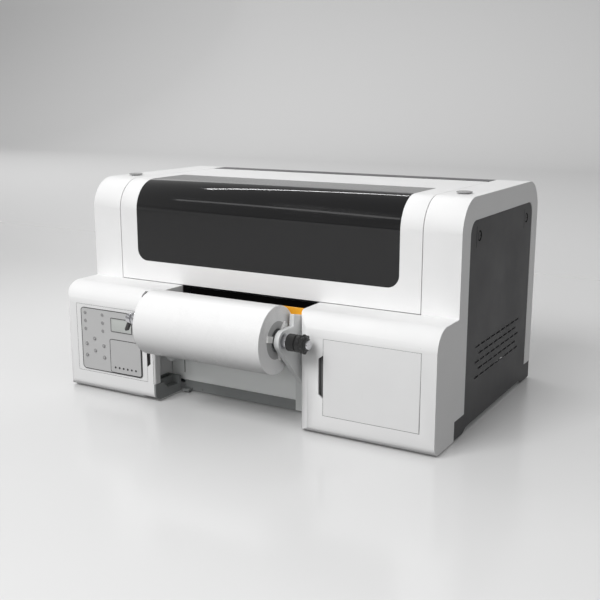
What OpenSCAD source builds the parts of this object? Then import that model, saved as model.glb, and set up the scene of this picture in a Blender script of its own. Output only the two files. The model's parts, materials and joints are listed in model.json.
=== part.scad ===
/* [Body] */
// Width over the two end casings
body_w = 1000; // [980:10:1200]
// Depth from the front of the pods to the back
body_d = 660; // [660:5:760]
// Height of the roof
body_h = 523; // [520:1:600]
// Wall thickness of the end casings
casing_t = 4; // [3:0.5:5]
// Radius of the roof's front and back edges
roof_r = 75; // [60:1:80]
// Height of the rubber pads under the body
pad_h = 3; // [2:0.5:5]

/* [Front pods] */
// How far the pods stand in front of the hood
pod_d = 119; // [115:1:122]
// Height of the pods
pod_h = 271.5; // [268:0.5:273]
// Inner face of the left pod
left_pod_x = -221; // [-225:1:-219]
// Inner face of the right pod
right_pod_x = 166; // [165:1:175]
// Radius of the pods' top front edge
pod_top_r = 50; // [40:1:55]
// Radius of the right pod's inner corner
pod_inner_r = 50; // [30:1:55]

/* [Hood] */
// Width of the hood
hood_w = 824; // [810:2:826]
// Thickness of the hood and its window
hood_t = 4; // [3:0.5:5]
// Width of the window
window_w = 720; // [600:10:760]
// Height of the window's lower edge
window_z = 323; // [310:1:360]
// Depth at which the window ends on the roof
window_back_y = 317.5; // [250:0.5:400]
// Radius of the window's lower corners
window_r = 29; // [10:1:40]

/* [Film roll] */
// Width of the film roll
roll_w = 337; // [200:1:340]
// Radius of the full film roll
roll_r = 76; // [55:0.5:80]
// Height of the roll's axis
roll_z = 215.5; // [208:0.5:220]
// Distance of the roll's axis in front of the pods
roll_reach = 35.5; // [35:0.5:45]
// Radius of the media shaft
shaft_r = 10; // [8:0.5:11]

/* [Doors and controls] */
// Width of the ink door
door_w = 225.7; // [200:0.1:226]
// Width of the control cover
control_w = 220.5; // [200:0.1:221]
// Height of the doors' lower edge
door_z = 50.3; // [48:0.1:60]
// Height of the doors
door_h = 171.4; // [150:0.1:172]
// Diameter of the keys and lamps
key_d = 9; // [6:0.5:10]

/* [Hidden] */
$fn = 64;

// Sub-parts are drawn with Y = 0 on the front of the pods, then moved so that
// the origin is on the floor, at the centre of the whole machine's footprint.
half_w = body_w / 2;
overhang = roll_reach + roll_r;
front_y = (overhang - body_d) / 2;
roll_x0 = -191;
roll_x1 = roll_x0 + roll_w;
roll_y = -roll_reach;

// Body
seam_x = hood_w / 2 + 1.5;
side_t = 3;
side_x = half_w - casing_t;
side_z = 46.5;
foot_gap_z = 12;
pod_zone_y = 175;
deck_z = 236;
deck_t = 4;
tray_z = deck_z + deck_t;
hood_z = pod_h + 1;
hood_back_y = 526.5;
hinge_y = 531;
hinge_z = body_h - hood_t;
hinge_r = 4;
rear_y = body_d - 2;
cover_t = 3;
cover_y = 535.5;
fan_z = 330;
fan_r = 57;
inlet_x = -330;
inlet_z = 90;

// Niche and waste tray in the left pod's inner side
niche_x = -262;
niche_y = 19;
tray_floor = 1.5;
tray_top_z = 45;
tray_end = 5;
toe_x = -209;

// Doors
door_t = 4;
door_gap = 0.8;
right_door_x = 239.9;
left_door_x = -465.6;
door_pin_r = 1;
door_axis_x = right_door_x + door_w - door_t / 2;
key_places = [[-435, 122], [-409, 137.6], [-379.6, 122.4], [-408, 106.8], [-435.5, 92], [-379, 92.4]];
lamp_xs = [-437, -381];
lamp_zs = [160, 180.5, 201];
roof_button_x = 457;
roof_button_y = 238;

// Media shaft and arms
arm_t = 12;
right_arm_x = 152;
left_arm_x = -214;
arm_hub_r = 24;
arm_back_y = 117;
bearing_r = 17;
fit = 0.05;
core_r = 42;
core_bore_r = 38;
core_collar = 6;
chuck_r = 26;
jaw_r = 46;
lever_droop = 65;
lever_l = 32;

// Print carriage
beam_y = 345;
beam_z = 330;
beam_h = 70;
rail_y = 335;
rail_z = 352;
rail_h = 14;
carriage_x = 190;
carriage_w = 200;
belt_y = beam_y + 27;
belt_z = beam_z + beam_h + 4;
pulley_x = 385;
pulley_r = 11.2;
feed_y = 295;
feed_z = 256;
feed_r = 10;
pinch_r = 6;
pinch_z = feed_z + feed_r + pinch_r + 0.2;
film_x0 = -197;
film_x1 = 152;

module at_front() {
    translate([0, front_y, 0]) children();
}

// A profile in Y and Z, drawn out from x0 to x1
module extrude_x(x0, x1) {
    translate([x0, 0, 0]) rotate([90, 0, 90]) linear_extrude(x1 - x0) children();
}

// A profile in X and Z, drawn out from y0 to y1
module extrude_y(y0, y1) {
    translate([0, y1, 0]) rotate([90, 0, 0]) linear_extrude(y1 - y0) children();
}

module box(low, high) {
    translate(low) cube(high - low);
}

module rod_x(x0, x1, r, y, z) {
    translate([x0, y, z]) rotate([0, 90, 0]) cylinder(h = x1 - x0, r = r);
}

module rod_y(y0, y1, r, x, z) {
    translate([x, y1, z]) rotate([90, 0, 0]) cylinder(h = y1 - y0, r = r);
}

// A rectangle with its own radius at each corner: bottom left, bottom right, top right, top left
module round_rect(x0, y0, x1, y1, bl = 0, br = 0, tr = 0, tl = 0) {
    corners = concat(
        bl > 0 ? [[x0, y0 + bl], [x0 + bl, y0]] : [[x0, y0]],
        br > 0 ? [[x1 - br, y0], [x1, y0 + br]] : [[x1, y0]],
        tr > 0 ? [[x1, y1 - tr], [x1 - tr, y1]] : [[x1, y1]],
        tl > 0 ? [[x0 + tl, y1], [x0, y1 - tl]] : [[x0, y1]]
    );
    polygon(corners);
    if (bl > 0) translate([x0 + bl, y0 + bl]) circle(bl);
    if (br > 0) translate([x1 - br, y0 + br]) circle(br);
    if (tr > 0) translate([x1 - tr, y1 - tr]) circle(tr);
    if (tl > 0) translate([x0 + tl, y1 - tl]) circle(tl);
}

// The end's outline behind the pods, seen from the side
module end_profile(inset, z0) {
    r = roof_r - inset;
    round_rect(pod_d + inset, z0, body_d - inset, body_h - inset, tr = r, tl = r);
}

module pod_profile(inset) {
    round_rect(
        inset, pad_h + inset, pod_d + inset * 2, pod_h - inset,
        bl = 22 - inset, tl = pod_top_r - inset
    );
}

// The dark side panel's outline with its two feet, grown by gap
module side_outline(gap) {
    r = 30 + gap;
    round_rect(170.5 - gap, foot_gap_z - gap, 614 + gap, 471.5 + gap, tr = r, tl = r);
    polygon([
        [112 - gap, pad_h - gap], [169, pad_h - gap], [187, foot_gap_z - gap],
        [187, side_z + gap], [112 - gap, side_z + gap]
    ]);
    polygon([
        [577, foot_gap_z - gap], [596, pad_h - gap], [body_d, pad_h - gap],
        [body_d, side_z + gap], [577, side_z + gap]
    ]);
}

module finger_slot(x_tip, x_edge) {
    extrude_y(-1, casing_t + 1)
        polygon([[x_edge, 87.5], [x_tip, 96], [x_tip, 177], [x_edge, 186]]);
}

module roof_button_well(x) {
    translate([x, roof_button_y, body_h - 30]) cylinder(h = 40, r = 10.5);
}

// Ring under the roof that guides a roof button's stem
module roof_button_guide(x) {
    difference() {
        translate([x, roof_button_y, body_h - 20]) cylinder(h = 18, r = 16);
        roof_button_well(x);
    }
}

// The right pod's volume, smaller all round by inset
module right_pod_volume(inset) {
    intersection() {
        extrude_x(right_pod_x + inset, half_w - inset) pod_profile(inset);
        // a hair further forward than the profile, so that the two roundings cross cleanly
        linear_extrude(pod_h) round_rect(
            right_pod_x + inset, inset - fit, half_w - inset, pod_d + inset * 2,
            bl = pod_inner_r - inset
        );
    }
}

module casing_cuts(door_x, w) {
    t = casing_t;
    extrude_x(seam_x - 1, half_w - t) end_profile(t, -1);
    extrude_x(side_x - 1, half_w + 1) side_outline(0.6);
    extrude_y(-1, t + 1) translate([door_x - door_gap, door_z - door_gap])
        square([w + 2 * door_gap, door_h + 2 * door_gap]);
}

module right_shell() {
    difference() {
        union() {
            extrude_x(seam_x, half_w) end_profile(0, side_z);
            right_pod_volume(0);
        }
        right_pod_volume(casing_t);
        casing_cuts(right_door_x, door_w);
        finger_slot(228.4, right_door_x);
        roof_button_well(roof_button_x);
        for (z = [door_z - 11, door_z + door_h + door_gap])
            translate([door_axis_x, door_t / 2, z]) cylinder(h = 10.2, r = door_pin_r);
    }
}

module left_shell() {
    t = casing_t;
    difference() {
        union() {
            extrude_x(-half_w, -seam_x) end_profile(0, side_z);
            intersection() {
                extrude_x(-half_w, left_pod_x) pod_profile(0);
                linear_extrude(pod_h)
                    round_rect(-half_w, 0, left_pod_x, pod_d, bl = 16, br = 4);
            }
        }
        // inside of the pod, left of the niche and then over it
        extrude_x(-half_w + t, niche_x - t) pod_profile(t);
        intersection() {
            extrude_x(niche_x - t - 1, left_pod_x - t) pod_profile(t);
            box([niche_x - t - 1, 0, 0], [0, niche_y - t, 300]);
        }
        box([niche_x - t - 1, niche_y - t - 1, tray_z + t], [left_pod_x - t, pod_d + 9, pod_h - t]);
        // niche and the waste tray's bay, open to the front at its end
        box([niche_x, niche_y, pad_h + tray_floor], [left_pod_x + 1, pod_d + 1, tray_z]);
        box([niche_x, casing_t, pad_h + tray_floor], [left_pod_x + 1, pod_d + 1, side_z]);
        box([left_pod_x - tray_end, -1, 0], [left_pod_x + 1, casing_t + 1, side_z]);
        mirror([1, 0, 0]) casing_cuts(-left_door_x - control_w, control_w);
        finger_slot(-234.3, left_door_x + control_w);
        roof_button_well(-roof_button_x);
    }
}

// The shells' part below the pods' tops, as far back as the side panels
module pod_zone() {
    box([-half_w - 1, -1, 0], [half_w + 1, pod_zone_y, pod_h]);
}

module right_casing() {
    color("whitesmoke") at_front() {
        difference() {
            right_shell();
            pod_zone();
        }
        roof_button_guide(roof_button_x);
    }
}

module right_pod() {
    color("whitesmoke") at_front() intersection() {
        right_shell();
        pod_zone();
    }
}

module left_casing() {
    color("whitesmoke") at_front() {
        difference() {
            left_shell();
            pod_zone();
        }
        roof_button_guide(-roof_button_x);
    }
}

module left_pod() {
    color("whitesmoke") at_front() intersection() {
        left_shell();
        pod_zone();
    }
}

// Vents in five staggered rows, with a slotted lock near each upper corner
module side_panel() {
    vent_len = 27;
    // each lock's depth, and the depth of the slit beside it
    lock_places = [[230, 210], [570.5, 552]];
    lock_z = 435;
    lock_r = 12;
    difference() {
        extrude_x(side_x, side_x + side_t) side_outline(0);
        for (row = [0:4]) {
            z = 110.3 + row * 18;
            short_row = row % 2 == 1;
            for (i = [0 : short_row ? 7 : 8]) {
                y = short_row ? 254 + i * 35 : 231 + i * 36;
                box([side_x - 1, y, z], [half_w, y + vent_len, z + 4]);
            }
        }
        for (lock = lock_places) {
            rod_x(side_x - 1, half_w, lock_r, lock[0], lock_z);
            box([side_x - 1, lock[1] - 1, lock_z - 23], [half_w, lock[1] + 1, lock_z + 23]);
        }
    }
    // cam locks: a cup behind the panel and a slotted barrel in it
    for (lock = lock_places) {
        y = lock[0];
        difference() {
            rod_x(side_x - 12, side_x, lock_r + 4, y, lock_z);
            rod_x(side_x - 3, side_x + 1, lock_r, y, lock_z);
        }
        difference() {
            rod_x(side_x - 3, side_x + 2, lock_r - 3, y, lock_z);
            box([side_x + 0.5, y - lock_r, lock_z - 1], [side_x + 3, y + lock_r, lock_z + 1]);
        }
    }
}

module side_panels() {
    color("dimgray") at_front() for (s = [0, 1]) mirror([s, 0, 0]) side_panel();
}

module base_frame() {
    color("silver") at_front() {
        box([-492, 124, 15], [492, rear_y - cover_t, 18]);
        for (s = [0, 1]) mirror([s, 0, 0]) {
            extrude_x(416, 420) round_rect(128, 18, 640, 505, tr = 58, tl = 60);
            // feet, which also carry the side panel
            box([440, 124, pad_h], [side_x, 168, 15]);
            box([440, 597, pad_h], [side_x, 655, 15]);
        }
        // cross beams, which reach out to the casings
        box([-side_x, 123, 200], [side_x, 146, deck_z]);
        box([-side_x, 540, 500], [side_x, 560, hinge_z - hinge_r]);
        box([-416, 123, deck_z], [416, 420, tray_z]);
    }
}

module rear_cover() {
    color("dimgray") at_front() difference() {
        union() {
            difference() {
                extrude_x(-411.5, 411.5) round_rect(cover_y, 18, rear_y, body_h, tr = roof_r);
                extrude_x(-412, 412) round_rect(
                    cover_y - 40, 17, rear_y - cover_t, body_h - cover_t, tr = roof_r - cover_t
                );
            }
            box([-411.5, 556.5, hinge_z - hinge_r], [411.5, 559.5, body_h - 1]);
        }
        rod_y(rear_y - 10, rear_y + 1, fan_r, 0, fan_z);
        box([inlet_x - 24, 640, inlet_z - 14], [inlet_x + 24, rear_y + 1, inlet_z + 14]);
        box([inlet_x + 40, 640, inlet_z - 10], [inlet_x + 54, rear_y + 1, inlet_z + 10]);
        box([inlet_x + 80, 640, inlet_z - 6], [inlet_x + 94, rear_y + 1, inlet_z + 6]);
        // cooling slots either side of the fan
        for (x = [-300, 220], i = [0:7])
            box([x, 640, 250 + i * 22], [x + 80, rear_y + 1, 256 + i * 22]);
    }
}

module foot_pads() {
    color("#202020") at_front() {
        for (x = [-476, 476], y = [146, 626]) translate([x, y, 0]) cylinder(h = pad_h, r = 17);
        translate([toe_x, 110, 0]) cylinder(h = pad_h, r = 8);
    }
}

module bay_panel() {
    color("gainsboro") at_front() box([niche_x, 120, 27.5], [right_pod_x - 1, 123, tray_z]);
}

module base_rail() {
    color("dimgray") at_front() difference() {
        union() {
            box([left_pod_x, 118, pad_h], [right_pod_x - 1, 124, 27.5]);
            box([toe_x - 10, 101, pad_h], [toe_x + 10, 119, 9]);
        }
        rod_y(117, 120, 3, -166, 8);
    }
}

module bay_flange() {
    color("whitesmoke") at_front() {
        box([103, arm_back_y, pad_h], [right_pod_x - 1, 118, tray_z]);
        box([103, 118, 27.5], [right_pod_x - 1, 120, tray_z]);
        // a short one behind the left arm
        box([left_arm_x - 4, arm_back_y, 90], [left_arm_x + arm_t + 4, 120, tray_z]);
    }
}

module waste_tray() {
    color("gray") at_front() difference() {
        union() {
            extrude_x(niche_x + 0.5, left_pod_x)
                round_rect(casing_t + 0.5, pad_h + tray_floor, 100, tray_top_z, bl = 18);
            // end that shows at the front
            extrude_x(left_pod_x - tray_end + 0.5, left_pod_x)
                round_rect(0, pad_h + tray_floor, 40, tray_top_z, bl = 20);
        }
        // hollow for the waste ink
        box([niche_x + 4, 14, 9], [left_pod_x - 22, 94, tray_top_z + 1]);
        // scoop for the fingers
        extrude_x(left_pod_x - 18, left_pod_x + 1)
            polygon([[28, tray_top_z + 1], [50, 26], [90, 26], [90, tray_top_z + 1]]);
    }
}

module film_guide() {
    color("orange") at_front() extrude_x(left_pod_x, right_pod_x)
        round_rect(47, tray_z, 50, pod_h, tr = 1.4, tl = 1.4);
}

module slot_tray() {
    color("#101010") at_front() {
        box([left_pod_x, 50, tray_z], [right_pod_x, 130, tray_z + 3]);
        box([left_pod_x, 50, tray_z + 3], [right_pod_x, 53, pod_h - 3]);
    }
}

module platen() {
    top_z = 266;
    color("lightgray") at_front() {
        difference() {
            box([film_x0 - 8, 130, tray_z], [film_x1 + 8, 283, top_z]);
            for (i = [0:13], j = [0:3])
                translate([film_x0 + 18 + i * 24, 160 + j * 30, top_z - 3]) cylinder(h = 4, r = 1.5);
        }
        // end brackets and bar of the pinch rollers
        difference() {
            union() {
                box([film_x0 - 8, feed_y - 8, tray_z], [film_x0 - 2, feed_y + 8, 291]);
                box([film_x1 + 2, feed_y - 8, tray_z], [film_x1 + 8, feed_y + 8, 291]);
                box([film_x0 - 2, feed_y - 8, 281], [film_x1 + 2, feed_y + 8, 291]);
            }
            rod_x(film_x0 - 9, film_x1 + 9, 4 + fit, feed_y, feed_z);
            rod_x(film_x0 - 9, film_x1 + 9, 3 + fit, feed_y, pinch_z);
        }
        // media edge guide
        box([108, 268, top_z], [134, 283, 297]);
    }
}

module feed_roller() {
    color("gray") at_front() {
        rod_x(film_x0 - 1.5, film_x1 + 1.5, feed_r, feed_y, feed_z);
        rod_x(film_x0 - 20, film_x1 + 14, 4, feed_y, feed_z);
        rod_x(film_x0 - 20, film_x0 - 10, 14, feed_y, feed_z);
    }
}

module pinch_rollers() {
    color("#303030") at_front() {
        rod_x(film_x0 - 9, film_x1 + 9, 3, feed_y, pinch_z);
        for (i = [0:5]) rod_x(film_x0 + 10 + i * 58, film_x0 + 48 + i * 58, pinch_r, feed_y, pinch_z);
    }
}

module gantry_beam() {
    color("silver") at_front() {
        difference() {
            box([-416, beam_y, beam_z], [416, beam_y + 60, beam_z + beam_h]);
            box([-417, beam_y + 6, beam_z + 6], [417, beam_y + 54, beam_z + beam_h - 6]);
        }
        difference() {
            box([-400, rail_y, rail_z], [400, beam_y, rail_z + rail_h]);
            for (i = [-6:6]) rod_y(rail_y - 1, rail_y + 3, 3, i * 60, rail_z + rail_h / 2);
        }
        // idler post
        translate([pulley_x, belt_y, beam_z + beam_h]) cylinder(h = 17, r = 2.5 - fit);
    }
}

module capping_station() {
    color("dimgray") at_front() difference() {
        box([205, 180, tray_z], [385, 275, 266]);
        for (i = [0:2]) box([227 + i * 50, 196, 258], [261 + i * 50, 254, 267]);
    }
}

module ink_bottles() {
    floor_z = pad_h + casing_t;
    color("lightgray") at_front() for (i = [0:3], row = [0, 1])
        translate([284 + i * 46, 42 + row * 44, floor_z]) {
            cylinder(h = 92, r = 19);
            translate([0, 0, 92]) cylinder(h = 12, r1 = 19, r2 = 11);
            translate([0, 0, 104]) cylinder(h = 22, r = 12);
        }
}

module electronics() {
    floor_z = pad_h + casing_t;
    color("silver") at_front() {
        box([-470, 30, floor_z], [-390, 100, floor_z + 110]);
        box([-380, 98, floor_z], [-280, 100, floor_z + 150]);
        for (i = [0:3]) box([-372 + i * 22, 88, floor_z + 20], [-358 + i * 22, 98, floor_z + 50]);
        box([-360, 82, floor_z + 80], [-320, 98, floor_z + 110]);
    }
}

module power_inlet() {
    color("#181818") at_front() {
        difference() {
            box([inlet_x - 24, rear_y - 28, inlet_z - 14], [inlet_x + 24, rear_y, inlet_z + 14]);
            box([inlet_x - 12, rear_y - 18, inlet_z - 8], [inlet_x + 12, rear_y + 1, inlet_z + 8]);
        }
        for (pin = [[-7, -2], [0, 3], [7, -2]])
            box(
                [inlet_x + pin[0] - 1, rear_y - 18, inlet_z + pin[1] - 2],
                [inlet_x + pin[0] + 1, rear_y - 4, inlet_z + pin[1] + 2]
            );
        // data socket and the switch's well
        difference() {
            box([inlet_x + 80, rear_y - 20, inlet_z - 6], [inlet_x + 94, rear_y, inlet_z + 6]);
            box([inlet_x + 82, rear_y - 14, inlet_z - 4], [inlet_x + 92, rear_y + 1, inlet_z + 4]);
        }
        difference() {
            box([inlet_x + 40, rear_y - 20, inlet_z - 10], [inlet_x + 54, rear_y, inlet_z + 10]);
            box([inlet_x + 41, rear_y - 16, inlet_z - 9], [inlet_x + 53, rear_y + 1, inlet_z + 9]);
            rod_x(inlet_x + 40.1, inlet_x + 53.9, 1.5 + fit, rear_y - 8, inlet_z);
        }
    }
}

module power_switch() {
    color("crimson") at_front() translate([inlet_x + 47, rear_y - 8, inlet_z]) rotate([-8, 0, 0]) {
        difference() {
            box([-5.5, -2, -8], [5.5, 7, 8]);
            // the two faces of the rocker
            translate([-6, 5, 0]) rotate([-12, 0, 0]) cube([12, 9, 20]);
            translate([-6, 5, 0]) rotate([12, 0, 0]) translate([0, 0, -20]) cube([12, 9, 20]);
        }
        rod_x(-6.8, 6.8, 1.5, 0, 0);
    }
}

module fan_frame() {
    y0 = rear_y - cover_t - 25;
    color("#181818") at_front() {
        difference() {
            box([-60, y0, fan_z - 60], [60, rear_y - cover_t, fan_z + 60]);
            rod_y(y0 - 1, rear_y, fan_r, 0, fan_z);
        }
        // finger guard
        for (r = [20, 32, 44, 56]) guard_ring(r, rear_y - 2.5, rear_y - 0.5);
        for (a = [45, 135]) translate([0, rear_y - 2, fan_z]) rotate([0, a, 0])
            box([-56.5, -1, -1], [56.5, 1, 1]);
        // struts and hub of the motor
        rod_y(y0, y0 + 4, 18, 0, fan_z);
        for (a = [45, 135]) translate([0, y0 + 2, fan_z]) rotate([0, a, 0])
            box([-58, -2, -2], [58, 2, 2]);
        rod_y(y0 + 4, y0 + 12, 3, 0, fan_z);
    }
}

module guard_ring(r, y0, y1) {
    difference() {
        rod_y(y0, y1, r + 1, 0, fan_z);
        rod_y(y0 - 1, y1 + 1, r - 1, 0, fan_z);
    }
}

module fan_rotor() {
    y0 = rear_y - cover_t - 20;
    color("#202020") at_front() {
        difference() {
            union() {
                rod_y(y0, y0 + 17, 18, 0, fan_z);
                for (i = [0:6]) translate([0, y0 + 8, fan_z]) rotate([0, i * 360 / 7, 0])
                    translate([14, 0, 0]) rotate([38, 0, 0]) box([0, -1, -11], [40, 1, 11]);
            }
            rod_y(y0 - 1, y0 + 10, 3 + fit, 0, fan_z);
        }
    }
}

// A dark cup behind a finger slot, open to the front
module finger_cup(x0, x1) {
    difference() {
        box([x0 - 2, casing_t, 84], [x1 + 2, casing_t + 10, 190]);
        box([x0, casing_t - 1, 86], [x1, casing_t + 9, 188]);
    }
}

module door_pulls() {
    color("#505050") at_front() {
        finger_cup(227.5, right_door_x + 3);
        finger_cup(left_door_x + control_w - 3, -233.4);
    }
}

module hinge_pins() {
    color("silver") at_front() {
        for (s = [-1, 1]) rod_x(s * 300 - 31, s * 300 + 31, 2, hinge_y, hinge_z);
        for (z = [door_z - 10.8, door_z + door_h - 10])
            translate([door_axis_x, door_t / 2, z]) cylinder(h = 20.8, r = door_pin_r);
    }
}

module body_hinge_leaves() {
    color("dimgray") at_front() for (s = [-1, 1], k = [-30, 10]) {
        x = s * 300 + k;
        difference() {
            union() {
                rod_x(x, x + 20, hinge_r, hinge_y, hinge_z);
                box([x, hinge_y, hinge_z - hinge_r], [x + 20, 556, hinge_z - 0.5]);
            }
            rod_x(x - 1, x + 21, 2, hinge_y, hinge_z);
        }
    }
}

module hood_hinge_leaves() {
    color("dimgray") at_front() for (s = [-1, 1]) {
        x = s * 300 - 9.8;
        difference() {
            union() {
                rod_x(x, x + 19.6, hinge_r, hinge_y, hinge_z);
                box([x, 500, hinge_z - hinge_r], [x + 19.6, hinge_y, hinge_z]);
            }
            rod_x(x - 1, x + 21, 2 + fit, hinge_y, hinge_z);
        }
    }
}

// The hood's sheet, bent over the roof's front edge
module hood_sheet(x0, x1) {
    difference() {
        extrude_x(x0, x1) round_rect(pod_d, hood_z, hood_back_y, body_h, tl = roof_r);
        extrude_x(x0 - 1, x1 + 1) round_rect(
            pod_d + hood_t, hood_z - 1, hood_back_y + 1, body_h - hood_t, tl = roof_r - hood_t
        );
    }
}

module window_outline() {
    round_rect(-window_w / 2, window_z, window_w / 2, body_h + 20, bl = window_r, br = window_r);
}

module hood() {
    color("whitesmoke") at_front() {
        difference() {
            hood_sheet(-hood_w / 2, hood_w / 2);
            extrude_y(pod_d - 10, window_back_y) window_outline();
        }
        // stiffening flanges along both sides
        for (s = [0, 1]) mirror([s, 0, 0]) difference() {
            extrude_x(hood_w / 2 - 3, hood_w / 2)
                round_rect(pod_d + hood_t, hood_z, 500, body_h - hood_t, tl = roof_r - hood_t);
            extrude_x(hood_w / 2 - 4, hood_w / 2 + 1)
                round_rect(pod_d + 12, hood_z - 1, 501, body_h - 12, tl = roof_r - 12);
        }
    }
}

module hood_window() {
    color("#303030") at_front() intersection() {
        hood_sheet(-window_w / 2, window_w / 2);
        extrude_y(pod_d - 10, window_back_y) window_outline();
    }
}

module right_door() {
    color("white") at_front() difference() {
        union() {
            box([right_door_x, 0, door_z], [door_axis_x, door_t, door_z + door_h]);
            translate([door_axis_x, door_t / 2, door_z]) cylinder(h = door_h, r = door_t / 2);
        }
        translate([door_axis_x, door_t / 2, door_z - 1]) cylinder(h = 12, r = door_pin_r + fit);
        translate([door_axis_x, door_t / 2, door_z + door_h - 11])
            cylinder(h = 12, r = door_pin_r + fit);
    }
}

module control_cover() {
    color("white") at_front() difference() {
        union() {
            box([left_door_x, 0, door_z], [left_door_x + control_w, door_t, door_z + door_h]);
            // lips behind the pod's front, along its inner face
            intersection() {
                for (z = [door_z - 5, door_z + door_h - 5])
                    box([left_door_x + 10, door_t, z], [left_door_x + control_w - 10, door_t + 2, z + 10]);
                extrude_x(-half_w, left_pod_x) pod_profile(casing_t);
            }
        }
        for (p = key_places) rod_y(-1, door_t + 3, 3, p[0], p[1]);
    }
}

module control_plate() {
    color("silver") at_front() difference() {
        extrude_y(-1.2, 0) round_rect(-450, 57, -260, 214, bl = 9, br = 9, tr = 9, tl = 9);
        for (p = key_places) rod_y(-2, 1, key_d / 2 + 0.4, p[0], p[1]);
        for (x = lamp_xs, z = lamp_zs) rod_y(-2, 1, key_d / 2 - 1, x, z);
    }
}

module lcd() {
    color("darkgray") at_front() difference() {
        extrude_y(-2.2, -1.2) round_rect(-353, 163.5, -288, 197, bl = 1.5, br = 1.5, tr = 1.5, tl = 1.5);
        box([-350, -3, 166], [-291, -1.8, 194.5]);
    }
}

module touch_panel() {
    color("silver") at_front() difference() {
        extrude_y(-2, -1.2) round_rect(-358.6, 59, -262, 143, bl = 6, br = 7, tr = 3, tl = 6);
        for (i = [0:5]) rod_y(-3, -1.5, 2.2, -343.8 + i * 12.9, 72);
    }
}

module status_lamps() {
    color("lightgray") at_front() for (x = lamp_xs, z = lamp_zs) {
        rod_y(-1.2, 0, key_d / 2 - 1, x, z);
        rod_y(-2.4, -1.2, key_d / 2, x, z);
    }
}

module panel_key(i) {
    place = key_places[i - 1];
    color("lightgray") at_front() {
        rod_y(-3.2, -0.9, key_d / 2, place[0], place[1]);
        rod_y(-0.9, door_t + 1, 2.5, place[0], place[1]);
    }
}

module roof_button(x) {
    color("darkgray") at_front() translate([x, roof_button_y, 0]) {
        translate([0, 0, body_h + 2.2]) cylinder(h = 3, r = 17.5);
        translate([0, 0, body_h - 14]) cylinder(h = 16.2, r = 10);
    }
}

// Lower tangent point on the hub's circle for a line from p
function tangent(p) =
    let (
        v = [p[0] - roll_y, p[1] - roll_z],
        a = atan2(v[1], v[0]) - acos(arm_hub_r / norm(v))
    ) [roll_y + arm_hub_r * cos(a), roll_z + arm_hub_r * sin(a)];

module arm(x) {
    low = [45, 97];
    high = [7, 266];
    hub_top = roll_z + arm_hub_r;
    difference() {
        extrude_x(x, x + arm_t) {
            polygon([
                tangent(low), low, [arm_back_y, 97], [arm_back_y, tray_z - 2],
                [46, tray_z - 2], [46, 257], high, [5, hub_top], [roll_y, hub_top], [roll_y, roll_z]
            ]);
            translate([roll_y, roll_z]) circle(arm_hub_r);
        }
        rod_x(x - 1, x + arm_t + 1, bearing_r, roll_y, roll_z);
    }
}

module shaft_arms() {
    color("whitesmoke") at_front() for (x = [left_arm_x, right_arm_x]) arm(x);
}

module shaft_bearings() {
    color("silver") at_front() for (x = [left_arm_x, right_arm_x]) difference() {
        rod_x(x, x + arm_t, bearing_r, roll_y, roll_z);
        rod_x(x - 1, x + arm_t + 1, shaft_r + fit, roll_y, roll_z);
    }
}

module media_shaft() {
    color("silver") at_front() {
        rod_x(-254, 226, shaft_r, roll_y, roll_z);
        // locating collars either side of the arms
        rod_x(-232, left_arm_x - 1, 16, roll_y, roll_z);
        rod_x(right_arm_x + arm_t + 1, 176, 14, roll_y, roll_z);
        // brake disc and the lever's clevis
        rod_x(-246, -238, 18, roll_y, roll_z);
        difference() {
            rod_x(-266, -254, 13, roll_y, roll_z);
            box([-270, roll_y - 5, 190], [-254, roll_y + 5, 240]);
        }
        rod_y(roll_y - 9, roll_y + 9, 2.5, -259, roll_z);
    }
}

module shaft_lever() {
    color("dimgray") at_front() difference() {
        translate([-259, roll_y, roll_z]) rotate([0, 180 - lever_droop, 0]) {
            box([0, -4.5, -4], [lever_l, 4.5, 3]);
            rod_y(-4.5, 4.5, 4.4, 0, 0);
            rod_y(-4.5, 4.5, 3.5, lever_l, -0.5);
        }
        rod_y(roll_y - 10, roll_y + 10, 2.5 + fit, -259, roll_z);
    }
}

module roll_core() {
    color("darkgray") at_front() difference() {
        rod_x(roll_x0, roll_x1, core_r, roll_y, roll_z);
        // a ring is left at each end, from the bore in to the chuck
        rod_x(roll_x0 + core_collar, roll_x1 - core_collar, core_bore_r, roll_y, roll_z);
        rod_x(roll_x0 - 1, roll_x1 + 1, chuck_r, roll_y, roll_z);
    }
}

module film_roll() {
    color("white") at_front() difference() {
        rod_x(roll_x0, roll_x1, roll_r, roll_y, roll_z);
        rod_x(roll_x0 - 1, roll_x1 + 1, core_r, roll_y, roll_z);
    }
}

module chuck_body(x0, x1) {
    difference() {
        rod_x(x0, x1, chuck_r, roll_y, roll_z);
        rod_x(x0 - 1, x1 + 1, shaft_r, roll_y, roll_z);
    }
}

module chucks() {
    color("#484848") at_front() {
        chuck_body(roll_x1 - 22, roll_x1 + 3);
        chuck_body(roll_x0 - 3, roll_x0 + 22);
    }
}

// Three jaws round a chuck, that hold the core's end
module jaw_set(x0, x1) {
    for (a = [45, 165, 285]) translate([0, roll_y, roll_z]) rotate([a, 0, 0]) difference() {
        box([x0, chuck_r - 3, -7], [x1, jaw_r, 7]);
        rod_x(x0 - 1, x1 + 1, chuck_r, 0, 0);
    }
}

module chuck_jaws() {
    color("whitesmoke") at_front() {
        jaw_set(roll_x1, roll_x1 + 5);
        jaw_set(roll_x0 - 5, roll_x0);
    }
}

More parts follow.
